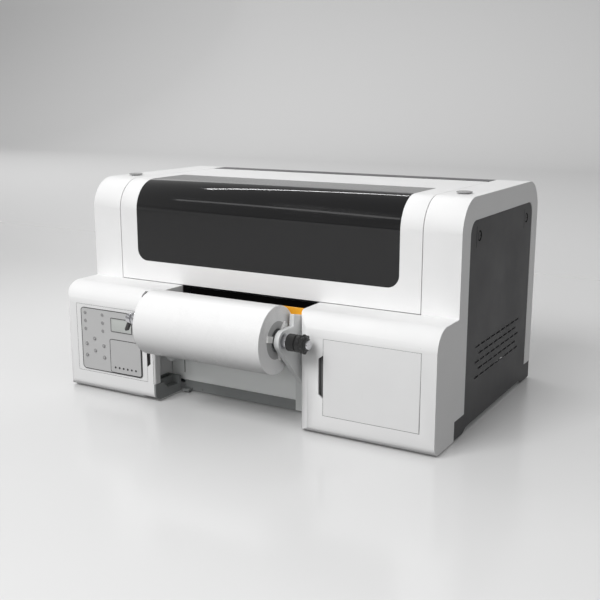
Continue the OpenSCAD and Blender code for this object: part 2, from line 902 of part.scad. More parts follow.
module shaft_knob() {
    color("#181818") at_front() difference() {
        union() {
            rod_x(176, 196, 19, roll_y, roll_z);
            rod_x(196, 198, 17, roll_y, roll_z);
            rod_x(198, 210, 19, roll_y, roll_z);
            rod_x(210, 218, 20.5, roll_y, roll_z);
            for (i = [0:7]) translate([210, roll_y, roll_z]) rotate([i * 45, 0, 0])
                translate([0, 18, 0]) rotate([0, 90, 0]) cylinder(h = 12, r = 4);
            rod_x(218, 222, 15, roll_y, roll_z);
        }
        rod_x(175, 223, shaft_r, roll_y, roll_z);
    }
}

module carriage() {
    x0 = carriage_x;
    x1 = carriage_x + carriage_w;
    color("#303030") at_front() {
        box([x0, 175, 300], [x1, 322, 430]);
        difference() {
            box([x0 + 50, 322, rail_z - 8], [x1 - 50, 343, rail_z + rail_h + 8]);
            box([x0, rail_y - 0.1, rail_z - 0.1], [x1, 345, rail_z + rail_h + 0.1]);
        }
        // belt clamp
        box([x0 + 90, 318, belt_z + 7], [x0 + 110, belt_y - 8, belt_z + 12]);
    }
}

module print_heads() {
    x0 = carriage_x;
    color("silver") at_front() {
        for (i = [0:2]) box([x0 + 40 + i * 50, 195, 268.5], [x0 + 68 + i * 50, 255, 300]);
        // curing lamps at both sides
        for (x = [x0 + 4, x0 + carriage_w - 22]) box([x, 185, 272], [x + 18, 265, 300]);
    }
}

module carriage_motor() {
    z = belt_z + 14;
    color("#282828") at_front() {
        box([-pulley_x - 21, belt_y - 21, z], [-pulley_x + 21, belt_y + 21, z + 50]);
        box([-pulley_x - 21, belt_y - 21, beam_z + beam_h], [-pulley_x - 17, belt_y + 21, z]);
        translate([-pulley_x, belt_y, belt_z - 2]) cylinder(h = 16, r = 2.5 - fit);
    }
}

module belt_outline(r) {
    translate([-pulley_x, belt_y]) circle(r);
    translate([pulley_x, belt_y]) circle(r);
    translate([-pulley_x, belt_y - r]) square([2 * pulley_x, 2 * r]);
}

module drive_belt() {
    color("#202020") at_front() translate([0, 0, belt_z]) linear_extrude(6) difference() {
        belt_outline(pulley_r + 1.4);
        belt_outline(pulley_r + 0.1);
    }
}

module pulley(x) {
    color("silver") at_front() translate([x, belt_y, belt_z - 1]) difference() {
        union() {
            cylinder(h = 8, r = pulley_r);
            translate([0, 0, 8]) cylinder(h = 1.5, r = pulley_r + 2);
        }
        translate([0, 0, -1]) cylinder(h = 12, r = 2.5);
    }
}

base_frame();
left_casing();
right_casing();
left_pod();
right_pod();
side_panels();
rear_cover();
foot_pads();
bay_panel();
base_rail();
bay_flange();
waste_tray();
film_guide();
slot_tray();
platen();
gantry_beam();
capping_station();
ink_bottles();
electronics();
power_inlet();
power_switch();
fan_frame();
fan_rotor();
door_pulls();
hinge_pins();
body_hinge_leaves();
hood();
hood_window();
hood_hinge_leaves();
right_door();
control_cover();
control_plate();
lcd();
touch_panel();
status_lamps();
panel_key(1);  // key_1
panel_key(2);  // key_2
panel_key(3);  // key_3
panel_key(4);  // key_4
panel_key(5);  // key_5
panel_key(6);  // key_6
roof_button(-roof_button_x);  // left_roof_button
roof_button(roof_button_x);  // right_roof_button
shaft_arms();
shaft_bearings();
media_shaft();
roll_core();
film_roll();
chucks();
chuck_jaws();
shaft_knob();
shaft_lever();
carriage();
print_heads();
carriage_motor();
drive_belt();
pulley(-pulley_x);  // drive_pulley
pulley(pulley_x);  // idler_pulley
feed_roller();
pinch_rollers();
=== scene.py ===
"""A desktop roll-fed UV printer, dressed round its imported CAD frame."""
import json
import math
import random

import bmesh
import bpy
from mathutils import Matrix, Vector


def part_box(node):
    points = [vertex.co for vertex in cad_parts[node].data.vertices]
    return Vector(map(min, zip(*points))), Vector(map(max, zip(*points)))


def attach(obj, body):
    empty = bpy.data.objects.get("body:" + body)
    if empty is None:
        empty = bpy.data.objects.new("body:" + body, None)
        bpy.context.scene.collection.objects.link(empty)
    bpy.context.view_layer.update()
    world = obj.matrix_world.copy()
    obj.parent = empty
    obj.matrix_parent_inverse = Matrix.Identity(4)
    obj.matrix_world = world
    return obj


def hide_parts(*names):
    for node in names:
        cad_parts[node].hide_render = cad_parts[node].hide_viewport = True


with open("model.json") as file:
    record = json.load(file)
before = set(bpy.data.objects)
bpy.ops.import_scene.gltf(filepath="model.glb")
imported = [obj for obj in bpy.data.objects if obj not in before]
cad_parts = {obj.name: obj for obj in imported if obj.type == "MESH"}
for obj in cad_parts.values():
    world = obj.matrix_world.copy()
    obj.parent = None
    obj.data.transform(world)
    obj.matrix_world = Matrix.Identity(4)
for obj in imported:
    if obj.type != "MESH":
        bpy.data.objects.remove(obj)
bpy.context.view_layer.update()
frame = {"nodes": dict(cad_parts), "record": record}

MM = 0.001
TURN = 2 * math.pi
random.seed(7)
nodes = frame["nodes"]
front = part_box("right_door")[0].y
roll_low, roll_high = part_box("film_roll")
roll_axis = (roll_low + roll_high) / 2
roll_radius = (roll_high.z - roll_low.z) / 2
SHAFT_CLEAR = 10.1
HEAD_PITCH = 50
FAN_Z = 330
FAN_SCREW = 52.5


def at(x, y, z):
    """A point in millimetres, with y counted from the front of the pods."""
    return Vector((x * MM, y * MM + front, z * MM))


# ---------------------------------------------------------------- materials


def add_node(tree, kind, inputs=None, **settings):
    """Adds a shader node. inputs sets values, or links where an output is given."""
    made = tree.nodes.new(kind)
    for key, value in settings.items():
        setattr(made, key, value)
    for key, value in (inputs or {}).items():
        if isinstance(value, bpy.types.NodeSocket):
            tree.links.new(value, made.inputs[key])
        else:
            made.inputs[key].default_value = value
    return made


def noise(tree, place, scale, detail=3.0, stretch=(1, 1, 1)):
    """Noise in waves per metre, drawn out along the axes where stretch is low."""
    mapped = add_node(tree, "ShaderNodeMapping", {"Vector": place, "Scale": stretch})
    made = add_node(
        tree,
        "ShaderNodeTexNoise",
        {"Vector": mapped.outputs["Vector"], "Scale": scale, "Detail": detail},
    )
    return made.outputs["Fac"]


def ranged(tree, value, low, high):
    """value, spread over low to high."""
    made = add_node(
        tree,
        "ShaderNodeMapRange",
        {"Value": value, "From Min": 0.3, "From Max": 0.7, "To Min": low, "To Max": high},
    )
    return made.outputs["Result"]


def surface(
    name,
    colour,
    rough,
    metallic=0.0,
    grain=1400.0,
    depth=0.05,
    mottle=0.015,
    vary=0.05,
    stretch=(1, 1, 1),
    rings=None,
    **sockets,
):
    """A material with a fine relief and slow drifts of colour and gloss.

    grain is in waves per metre, depth is the relief's strength, and rings adds
    turned or wound rings of that pitch round the roll's axis.
    """
    made = bpy.data.materials.new(name)
    made.use_nodes = True
    tree = made.node_tree
    shader = tree.nodes["Principled BSDF"]
    place = add_node(tree, "ShaderNodeTexCoord").outputs["Object"]
    slow = noise(tree, place, 11.0)
    fine = noise(tree, place, grain, 2.0, stretch)
    drift = ranged(tree, slow, 0.0, 1.0)
    tone = add_node(tree, "ShaderNodeMix", {"Factor": drift}, data_type="RGBA")
    # the colour sockets of a Mix node come last, so they are set by position
    tone.inputs[6].default_value = (*[c * (1 - mottle) for c in colour], 1.0)
    tone.inputs[7].default_value = (*[min(1.0, c * (1 + mottle)) for c in colour], 1.0)
    tree.links.new(tone.outputs[2], shader.inputs["Base Color"])
    mixed = add_node(
        tree,
        "ShaderNodeMath",
        {0: ranged(tree, slow, -vary, vary), 1: ranged(tree, fine, -vary / 2, vary / 2)},
        operation="ADD",
    )
    gloss = add_node(
        tree, "ShaderNodeMath", {0: mixed.outputs[0], 1: rough}, operation="ADD", use_clamp=True
    )
    tree.links.new(gloss.outputs[0], shader.inputs["Roughness"])
    height = fine
    if rings:
        centred = add_node(
            tree,
            "ShaderNodeVectorMath",
            {0: place, 1: (0, roll_axis.y, roll_axis.z)},
            operation="SUBTRACT",
        )
        flat = add_node(
            tree,
            "ShaderNodeVectorMath",
            {0: centred.outputs[0], 1: (0, 1, 1)},
            operation="MULTIPLY",
        )
        away = add_node(
            tree, "ShaderNodeVectorMath", {0: flat.outputs[0]}, operation="LENGTH"
        )
        waves = add_node(
            tree,
            "ShaderNodeMath",
            {0: away.outputs["Value"], 1: TURN / rings},
            operation="MULTIPLY",
        )
        ringed = add_node(
            tree, "ShaderNodeMath", {0: waves.outputs[0]}, operation="SINE"
        )
        height = add_node(
            tree, "ShaderNodeMath", {0: ringed.outputs[0], 1: fine}, operation="ADD"
        ).outputs[0]
    bump = add_node(
        tree, "ShaderNodeBump", {"Height": height, "Strength": depth, "Distance": 0.2 * MM}
    )
    tree.links.new(bump.outputs["Normal"], shader.inputs["Normal"])
    shader.inputs["Metallic"].default_value = metallic
    for key, value in sockets.items():
        shader.inputs[key.replace("_", " ")].default_value = value
    return made


ALONG_X = (0.02, 1, 1)
ALONG_Z = (1, 1, 0.02)

looks = {
    "shell_white": surface("shell_white", (0.82, 0.82, 0.82), 0.42, depth=0.04),
    "door_white": surface("door_white", (0.80, 0.80, 0.80), 0.44, depth=0.05),
    "frame_grey": surface(
        "frame_grey", (0.56, 0.57, 0.58), 0.5, grain=1800, depth=0.2, mottle=0.03
    ),
    "panel_dark": surface(
        "panel_dark", (0.052, 0.052, 0.054), 0.55, grain=2200, depth=0.3, mottle=0.05
    ),
    "cover_dark": surface(
        "cover_dark", (0.075, 0.075, 0.078), 0.42, grain=2200, depth=0.25, mottle=0.05
    ),
    "pad_rubber": surface(
        "pad_rubber", (0.02, 0.02, 0.02), 0.75, grain=900, depth=0.5, mottle=0.1
    ),
    # painted light: the bay panel is set near white, lighter than its own light grey, to lift the
    # shade deep in the bay
    "bay_grey": surface("bay_grey", (0.93, 0.95, 0.94), 0.38, depth=0.08),
    "rail_dark": surface("rail_dark", (0.27, 0.28, 0.28), 0.42, depth=0.15, mottle=0.04),
    "sheet_white": surface("sheet_white", (0.78, 0.80, 0.79), 0.42, depth=0.08),
    "tray_grey": surface("tray_grey", (0.24, 0.25, 0.25), 0.5, depth=0.2, mottle=0.04),
    # liner_black is pushed to near black, past the liner's own dark colour, as painted shade so the
    # film's slot reads black
    "liner_black": surface(
        "liner_black", (0.002, 0.002, 0.002), 0.8, depth=0.2, Specular_IOR_Level=0.1
    ),
    "platen_aluminium": surface(
        "platen_aluminium", (0.55, 0.56, 0.57), 0.34, 0.9, 1500, 0.15, stretch=ALONG_X
    ),
    "beam_aluminium": surface(
        "beam_aluminium", (0.42, 0.43, 0.44), 0.38, 0.9, 1500, 0.15, stretch=ALONG_X
    ),
    "station_grey": surface("station_grey", (0.12, 0.12, 0.13), 0.5, depth=0.2, mottle=0.04),
    "bottle_plastic": surface(
        "bottle_plastic", (0.7, 0.7, 0.7), 0.35, depth=0.1, Subsurface_Weight=0.2
    ),
    "tray_steel": surface(
        "tray_steel", (0.55, 0.55, 0.56), 0.4, 0.9, 1200, 0.1, stretch=ALONG_X
    ),
    "socket_black": surface("socket_black", (0.02, 0.02, 0.02), 0.4, depth=0.2),
    "switch_red": surface("switch_red", (0.55, 0.02, 0.02), 0.25, depth=0.04),
    "fan_black": surface("fan_black", (0.022, 0.022, 0.022), 0.42, depth=0.15),
    "pull_grey": surface("pull_grey", (0.26, 0.26, 0.26), 0.5, depth=0.2, mottle=0.04),
    "pin_steel": surface("pin_steel", (0.6, 0.6, 0.6), 0.25, 1.0, 2000, 0.08, stretch=ALONG_X),
    "hinge_dark": surface("hinge_dark", (0.07, 0.07, 0.07), 0.4, 0.4, depth=0.15),
    "window_smoked": surface(
        "window_smoked",
        (0.013, 0.013, 0.014),
        0.06,
        grain=60,
        depth=0.001,
        mottle=0.01,
        vary=0.008,
        Transmission_Weight=0.6,
        IOR=1.52,
    ),
    "guide_amber": surface(
        "guide_amber",
        (1.0, 0.47, 0.035),
        0.14,
        grain=300,
        depth=0.02,
        Transmission_Weight=0.2,
        IOR=1.49,
    ),
    "control_grey": surface("control_grey", (0.52, 0.52, 0.52), 0.34, grain=2600, depth=0.08),
    "lcd_grey": surface("lcd_grey", (0.48, 0.49, 0.48), 0.25, depth=0.03),
    "touch_grey": surface("touch_grey", (0.50, 0.50, 0.50), 0.3, grain=2600, depth=0.05),
    "lamp_grey": surface("lamp_grey", (0.30, 0.30, 0.30), 0.2, depth=0.03),
    "key_grey": surface("key_grey", (0.30, 0.30, 0.30), 0.35, depth=0.08),
    "button_grey": surface(
        "button_grey", (0.42, 0.42, 0.42), 0.38, 0.5, 1600, 0.12, mottle=0.04
    ),
    "arm_white": surface("arm_white", (0.78, 0.79, 0.79), 0.38, depth=0.1),
    "bearing_steel": surface(
        "bearing_steel", (0.5, 0.5, 0.52), 0.3, 1.0, depth=0.06, rings=0.8 * MM
    ),
    "shaft_steel": surface(
        "shaft_steel", (0.62, 0.62, 0.64), 0.22, 1.0, 2200, 0.06, rings=0.7 * MM
    ),
    "core_grey": surface(
        "core_grey", (0.42, 0.42, 0.42), 0.7, grain=700, depth=0.4, mottle=0.06, rings=1.5 * MM
    ),
    "film_white": surface(
        "film_white", (0.82, 0.82, 0.82), 0.3, grain=500, depth=0.03, mottle=0.006, rings=0.5 * MM
    ),
    "chuck_dark": surface(
        "chuck_dark", (0.20, 0.21, 0.21), 0.3, 0.7, depth=0.1, rings=1.1 * MM
    ),
    "jaw_white": surface("jaw_white", (0.78, 0.78, 0.77), 0.4, depth=0.1),
    "knob_black": surface("knob_black", (0.018, 0.018, 0.018), 0.34, depth=0.2, grain=1800),
    "carriage_dark": surface("carriage_dark", (0.05, 0.05, 0.055), 0.45, depth=0.2),
    "head_steel": surface(
        "head_steel", (0.5, 0.5, 0.52), 0.3, 1.0, 1800, 0.1, stretch=ALONG_Z
    ),
    "motor_black": surface("motor_black", (0.03, 0.03, 0.03), 0.45, depth=0.25),
    "belt_rubber": surface("belt_rubber", (0.02, 0.02, 0.02), 0.65, depth=0.3, mottle=0.1),
    "pulley_aluminium": surface("pulley_aluminium", (0.6, 0.6, 0.61), 0.3, 1.0, depth=0.08),
    "feed_rubber": surface("feed_rubber", (0.09, 0.09, 0.09), 0.7, grain=1500, depth=0.6),
    "pinch_rubber": surface("pinch_rubber", (0.03, 0.03, 0.03), 0.7, grain=900, depth=0.3),
}
# painted shade: near-black for the beads that stand in for the shaded grooves round the panel parts
groove_painted_shade = surface("groove_painted_shade", (0.035, 0.035, 0.035), 0.45, depth=0.1)
dot_black = surface("dot_black", (0.006, 0.006, 0.006), 0.35, depth=0.05)
screen_grey = surface(
    "screen_grey", (0.50, 0.52, 0.50), 0.12, grain=3000, depth=0.02, Coat_Weight=0.6
)
icon_pale = surface("icon_pale", (0.62, 0.62, 0.62), 0.4, depth=0.05)
cap_black = surface("cap_black", (0.03, 0.03, 0.03), 0.4, depth=0.15)
inks = {
    "cyan": (0.0, 0.30, 0.55),
    "magenta": (0.50, 0.01, 0.20),
    "yellow": (0.80, 0.62, 0.02),
    "black": (0.02, 0.02, 0.02),
    "white": (0.80, 0.80, 0.78),
    "varnish": (0.66, 0.60, 0.42),
}

# ---------------------------------------------------------------- shapes


def in_mm(profile):
    """A lathe profile written in millimetres, turned into metres."""
    return [(along * MM, radius * MM, *factor) for along, radius, *factor in profile]


def turned(bm, profile, origin, axis, steps=64):
    """A lathed shape. The profile's points are (along, radius) or, where the
    radius changes round the axis, (along, radius, factor of the angle)."""
    axis = Vector(axis).normalized()
    side = axis.orthogonal().normalized()
    up = axis.cross(side)
    rows = []
    for point in profile:
        along, radius = point[:2]
        if radius < 1e-9:
            rows.append([bm.verts.new(origin + axis * along)])
            continue
        row = []
        for i in range(steps):
            angle = i / steps * TURN
            r = radius * (point[2](angle) if len(point) > 2 else 1.0)
            offset = side * math.cos(angle) * r + up * math.sin(angle) * r
            row.append(bm.verts.new(origin + axis * along + offset))
        rows.append(row)
    if profile[0] == profile[-1]:
        for v in rows.pop():
            bm.verts.remove(v)
        rows.append(rows[0])
    for low, high in zip(rows, rows[1:]):
        for i in range(steps):
            j = (i + 1) % steps
            corners = low[i % len(low)], low[j % len(low)], high[j % len(high)], high[i % len(high)]
            unique = list(dict.fromkeys(corners))
            if len(unique) > 2:
                bm.faces.new(unique)


def slab(bm, low, high):
    """A box between two corners."""
    made = bmesh.ops.create_cube(bm, size=1.0)["verts"]
    size = high - low
    for v in made:
        v.co = low + Vector([(v.co[k] + 0.5) * size[k] for k in range(3)])


def rounded_outline(x0, z0, x1, z1, radius, steps=8):
    """Points round a rectangle with rounded corners."""
    corners = [(x1 - radius, z0 + radius, -90), (x1 - radius, z1 - radius, 0)]
    corners += [(x0 + radius, z1 - radius, 90), (x0 + radius, z0 + radius, 180)]
    points = []
    for cx, cz, start in corners:
        for i in range(steps + 1):
            a = math.radians(start + 90 * i / steps)
            points.append((cx + radius * math.cos(a), cz + radius * math.sin(a)))
    return points


def frame_ring(bm, outer, inner, y0, y1):
    """A flat frame between two outlines of as many points, from y0 to y1, in millimetres."""
    rows = []
    for outline, y in ((outer, y1), (outer, y0), (inner, y0), (inner, y1)):
        rows.append([bm.verts.new(at(x, y, z)) for x, z in outline])
    rows.append(rows[0])
    count = len(outer)
    for low, high in zip(rows, rows[1:]):
        for i in range(count):
            j = (i + 1) % count
            bm.faces.new((low[i], low[j], high[j], high[i]))


def plate(bm, outline, y0, y1):
    """A flat plate with that outline, from y0 to y1, in millimetres."""
    near = [bm.verts.new(at(x, y0, z)) for x, z in outline]
    far = [bm.verts.new(at(x, y1, z)) for x, z in outline]
    bm.faces.new(near)
    bm.faces.new(far[::-1])
    count = len(outline)
    for i in range(count):
        j = (i + 1) % count
        bm.faces.new((near[i], far[i], far[j], near[j]))


def hexagon(angle):
    """How far a hexagon's edge lies at an angle, against its corners."""
    sixth = TURN / 6
    return math.cos(sixth / 2) / math.cos(angle % sixth - sixth / 2)


def screw(bm, place, axis, radius, height):
    """A cap screw's head with a hexagon socket."""
    rim = radius * 0.12
    profile = [
        (-0.3 * height, radius),
        (height - rim, radius),
        (height - rim * 0.3, radius - rim * 0.3),
        (height, radius - rim),
        (height, radius * 0.58, hexagon),
        (height * 0.35, radius * 0.55, hexagon),
        (height * 0.3, 0),
    ]
    turned(bm, profile, place, axis, 36)


def piece(name, body, slot, material, build, bevel=0.0, segments=2, smooth=32):
    """An object made by build(bm), which rides on a body and wears the material given, or else the
    look of its slot.
    """
    bm = bmesh.new()
    build(bm)
    bmesh.ops.remove_doubles(bm, verts=bm.verts, dist=1e-6)
    bmesh.ops.recalc_face_normals(bm, faces=bm.faces)
    if bevel:
        limit = math.radians(smooth)
        sharp = [e for e in bm.edges if e.is_manifold and e.calc_face_angle(0) > limit]
        bmesh.ops.bevel(
            bm, geom=sharp, offset=bevel * MM, segments=segments, affect="EDGES", profile=0.5
        )
    mesh = bpy.data.meshes.new(name)
    bm.to_mesh(mesh)
    bm.free()
    mesh.shade_smooth()
    mesh.set_sharp_from_angle(angle=math.radians(smooth))
    obj = bpy.data.objects.new(name, mesh)
    bpy.context.scene.collection.objects.link(obj)
    mesh.materials.append(material or looks[slot])
    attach(obj, body)
    return obj


def soften(names, width, segments=2):
    """Takes the sharpness off the edges of CAD nodes, without moving anything else."""
    for name in names:
        obj = nodes[name]
        weld = obj.modifiers.new("weld", "WELD")
        weld.merge_threshold = 0.005 * MM
        flatten = obj.modifiers.new("flatten", "DECIMATE")
        flatten.decimate_type = "DISSOLVE"
        flatten.angle_limit = math.radians(0.4)
        bevel = obj.modifiers.new("bevel", "BEVEL")
        bevel.width = width * MM
        bevel.segments = segments
        bevel.limit_method = "ANGLE"
        bevel.angle_limit = math.radians(38)
        bevel.use_clamp_overlap = True
        bevel.harden_normals = True


# ---------------------------------------------------------------- CAD nodes

slot_of = {s["node"]: s["material_slot"] for s in frame["record"]["subparts"]}
for name, obj in nodes.items():
    obj.data.materials.clear()
    obj.data.materials.append(looks[slot_of[name]])

soften(["left_casing", "right_casing", "left_pod", "right_pod", "hood"], 0.8, 3)
soften(["right_door", "control_cover", "hood_window"], 0.5, 2)
soften(["shaft_arms", "waste_tray", "carriage"], 1.2, 3)
soften(["side_panels", "rear_cover", "base_frame"], 0.4, 2)
soften(["bay_panel", "base_rail", "bay_flange", "slot_tray", "platen"], 0.4, 2)
soften(["gantry_beam", "capping_station", "carriage_motor", "electronics"], 0.6, 2)
soften(["media_shaft", "shaft_lever", "chuck_jaws", "film_guide"], 0.5, 2)
soften(["power_inlet", "power_switch", "fan_frame", "print_heads"], 0.4, 2)

# ---------------------------------------------------------------- film roll and shaft


def film_layers(bm):
    """A wound roll: the layers' edges lie a little uneven at both ends."""
    core_low, core_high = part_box("roll_core")
    core = (core_high.z - core_low.z) / 2
    half = (roll_high.x - roll_low.x) / 2
    layers = 26
    edge = 0.5 * MM

    def wound(angle):
        return 1 - 0.004 * angle / TURN

    ends = []
    for i in range(layers + 1):
        r = core + (roll_radius - edge - core) * i / layers
        ends.append((r, random.uniform(0.02, 0.35) * MM))
    right = [(half - deep, r) for r, deep in ends]
    left = [(-half + deep, r) for r, deep in reversed(ends)]
    rim = [(half - edge, roll_radius, wound), (-half + edge, roll_radius, wound)]
    profile = right + rim + left
    turned(bm, profile + [profile[0]], roll_axis, (1, 0, 0), 160)


film = piece("wound_film", "roll", "film_white", None, film_layers, smooth=40)
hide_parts("film_roll")


def chuck_faces(bm):
    """Turned chucks with a raised collar and three bolts each."""
    for sign, x_end in ((1, roll_high.x), (-1, roll_low.x)):
        start = Vector((x_end, roll_axis.y, roll_axis.z))
        profile = [
            (-22, SHAFT_CLEAR),
            (-22, 24),
            (-20, 26),
            (-2, 26),
            (0, 24.5),
            (1, 24),
            (1.2, 18),
            (3, 17),
            (3, 12),
            (2.2, SHAFT_CLEAR),
            (-22, SHAFT_CLEAR),
        ]
        turned(bm, in_mm(profile), start, (sign, 0, 0), 72)
        for k in range(3):
            a = math.radians(101 + 120 * k)
            spot = Vector((1.1 * MM * sign, 21 * MM * math.cos(a), 21 * MM * math.sin(a)))
            screw(bm, start + spot, (sign, 0, 0), 2.4 * MM, 1.7 * MM)


chuck = piece("turned_chucks", "roll", "chuck_dark", None, chuck_faces)
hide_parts("chucks")


def knob_shape(bm):
    """A grip barrel with a groove, and a lobed wheel at its end."""
    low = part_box("shaft_knob")[0]
    start = Vector((low.x, roll_axis.y, roll_axis.z))

    def ribbed(angle):
        return 1 + 0.012 * math.cos(40 * angle)

    def lobed(angle):
        return 1 + 0.085 * math.cos(8 * angle)

    profile = [
        (0, SHAFT_CLEAR),
        (0, 17.6),
        (0.8, 18.6),
        (2, 19),
        (4, 18.6, ribbed),
        (16, 18.6, ribbed),
        (18, 19),
        (19.4, 18.6),
        (20, 17.4),
        (20.6, 16.6),
        (21.4, 16.6),
        (22, 17.4),
        (22.6, 18.6),
        (24, 19),
        (31, 19),
        (33, 18.2),
        (34, 17.6),
        (34.6, 19, lobed),
        (35.6, 20.2, lobed),
        (40.4, 20.2, lobed),
        (41.4, 19.2, lobed),
        (42.2, 15.5),
        (45, 14.6),
        (46, 13.4),
        (46, SHAFT_CLEAR),
        (0, SHAFT_CLEAR),
    ]
    turned(bm, in_mm(profile), start, (1, 0, 0), 240)


knob = piece("grip_knob", "roll", "knob_black", None, knob_shape, smooth=28)
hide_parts("shaft_knob")


def bearing_rings(bm):
    """Ball bearings seen from outside: rings with a sunk shield between them."""
    low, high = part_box("shaft_arms")
    thick = 12 * MM
    for x in (low.x, high.x - thick):
        half = [(0.6, 10.06), (0, 10.7), (0, 12.4), (1.2, 12.8)]
        half += [(1.2, 14.6), (0, 15), (0, 16.4), (0.6, 17)]
        near = in_mm(half)
        far = [(thick - a, r) for a, r in reversed(near)]
        start = Vector((x, roll_axis.y, roll_axis.z))
        turned(bm, near + far + [near[0]], start, (1, 0, 0), 72)


bearing = piece("bearing_rings", "machine", "bearing_steel", None, bearing_rings, smooth=25)
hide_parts("shaft_bearings")


def arm_bolts(bm):
    """Bolts through both arms, seen from outside."""
    low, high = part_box("shaft_arms")
    for x, sign in ((low.x, -1), (high.x, 1)):
        for y, z in ((70, 110), (100, 110), (70, 225), (100, 225)):
            spot = at(0, y, z)
            screw(bm, Vector((x, spot.y, spot.z)), (sign, 0, 0), 3.5 * MM, 1.6 * MM)


piece("arm_bolts", "machine", "bearing_steel", None, arm_bolts)


def brake_ring(bm):
    """A ribbed ring round the brake disc's outer face."""
    start = Vector((-246 * MM, roll_axis.y, roll_axis.z))

    def ribbed(angle):
        return 1 + 0.03 * (math.cos(24 * angle) > 0)

    ring = [(-0.2, 13.6), (0.8, 13.9), (0.8, 16.6, ribbed), (-0.2, 16.9, ribbed), (-0.2, 13.6)]
    turned(bm, in_mm(ring), start, (-1, 0, 0), 144)


piece("brake_ring", "roll", "shaft_steel", None, brake_ring)

# ---------------------------------------------------------------- control panel

PLATE = (-450, 57, -260, 214)
LCD = (-353, 163.5, -288, 197)
TOUCH = (-358.6, 59, -262, 143)


def outline_of(rect, radius, grow=0.0):
    """A rectangle's rounded outline, grown on every side."""
    x0, z0, x1, z1 = rect
    return rounded_outline(x0 - grow, z0 - grow, x1 + grow, z1 + grow, radius + grow)


def outlines(bm):
    """Dark beads round the control plate, the display and the touch panel: painted shade standing
    in for the grooves round them.
    """
    beads = (PLATE, 9, -1.2, 1.7), (LCD, 1.6, -2.1, 1.4), (TOUCH, 5, -1.9, 1.3)
    for rect, radius, y, width in beads:
        outer = outline_of(rect, radius, width / 2)
        inner = outline_of(rect, radius, -width / 2)
        frame_ring(bm, outer, inner, y - 0.35, y + 0.8)


piece("panel_outlines", "machine", "control_grey", groove_painted_shade, outlines, smooth=50)


def screen_glass(bm):
    """The display's glass, blank, inside its bead."""
    plate(bm, rounded_outline(-350, 166, -291, 194.5, 1.0), -2.0, -1.7)


piece("lcd_screen", "machine", "lcd_grey", screen_grey, screen_glass, 0.1)


def touch_dots(bm):
    """Six black dots along the touch panel's lower edge."""
    for i in range(6):
        spot = at(-343.8 + i * 12.9, -1.5, 72)
        profile = [(0, 2.15), (0.45, 2.15), (0.45, 2.7), (0.7, 2.7), (0.9, 2.3), (1.0, 0)]
        turned(bm, in_mm(profile), spot, (0, -1, 0), 32)


piece("touch_dots", "machine", "touch_grey", dot_black, touch_dots)


def dome(bm, spot, radius, height, base=0.0):
    """A low button: a straight skirt, a rounded rim and a slightly crowned top."""
    profile = [
        (-base, radius),
        (height * 0.55, radius),
        (height * 0.82, radius * 0.95),
        (height * 0.94, radius * 0.82),
        (height, radius * 0.45),
        (height * 1.02, 0),
    ]
    turned(bm, profile, spot, (0, -1, 0), 48)


def ring_round(bm, spot, radius):
    """A thin raised ring round a key or a lamp of that radius."""
    profile = [(-0.2, 1.0), (0.35, 1.0), (0.5, 1.08), (0.35, 1.2), (-0.2, 1.2), (-0.2, 1.0)]
    turned(bm, [(a * MM, r * radius) for a, r in profile], spot, (0, -1, 0), 48)


def mark(bm, spot, kind):
    """A small generic mark on a key's top: a bar, a ring, an arrow or a cross."""
    x, z, y = spot.x / MM, spot.z / MM, (spot.y - front) / MM
    size = 1.7
    if kind == "ring":
        ring = [(0, 1.2), (0.12, 1.2), (0.12, 1.7), (0, 1.7), (0, 1.2)]
        turned(bm, in_mm(ring), spot, (0, -1, 0), 32)
    elif kind == "bar":
        plate(bm, rounded_outline(x - size, z - 0.4, x + size, z + 0.4, 0.3, 3), y - 0.12, y)
    else:
        turns = {"up": 90, "down": -90, "left": 180, "right": 0}[kind]
        corners = [turns + a for a in (0, 130, 230)]
        points = [
            (x + size * math.cos(math.radians(a)), z + size * math.sin(math.radians(a)))
            for a in corners
        ]
        plate(bm, points, y - 0.12, y)


KEY_MARKS = {1: "left", 2: "up", 3: "right", 4: "down", 5: "bar", 6: "ring"}
for number, kind in KEY_MARKS.items():
    low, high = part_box(f"key_{number}")
    middle = (low + high) / 2
    radius = (high.x - low.x) / 2
    top = Vector((middle.x, low.y, middle.z))

    def key_cap(bm):
        height = 2.3 * MM
        dome(bm, top + Vector((0, height, 0)), radius, height * 0.98)

    cap = piece(f"key_cap_{number}", f"key_cap_{number}", "key_grey", None, key_cap)
    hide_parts(f"key_{number}")
    spot = top + Vector((0, 0.05 * MM, 0))
    piece(
        f"key_mark_{number}",
        f"key_cap_{number}",
        "key_grey",
        icon_pale,
        lambda bm: mark(bm, spot, kind),
        smooth=60,
    )

LAMP_SPOTS = [(x, z) for x in (-437, -381) for z in (160, 180.5, 201)]


def lamp_lenses(bm):
    """The six static lamps in the plate's upper half."""
    for x, z in LAMP_SPOTS:
        dome(bm, at(x, -1.0, z), 4.2 * MM, 1.35 * MM)


lamps = piece("lamp_lenses", "machine", "lamp_grey", None, lamp_lenses)
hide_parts("status_lamps")


def button_rings(bm):
    """Rings round the lamps and the keys."""
    for x, z in LAMP_SPOTS:
        ring_round(bm, at(x, -1.2, z), 4.4 * MM)
    for number in KEY_MARKS:
        low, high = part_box(f"key_{number}")
        middle = (low + high) / 2
        ring_round(bm, Vector((middle.x, at(0, -1.2, 0).y, middle.z)), 4.75 * MM)


piece("button_rings", "machine", "control_grey", None, button_rings, smooth=60)

# ---------------------------------------------------------------- roof buttons


def knurled(angle):
    """How far a knurled rim lies out at an angle, against its crests."""
    return 1 - 0.018 * abs(math.sin(30 * angle))


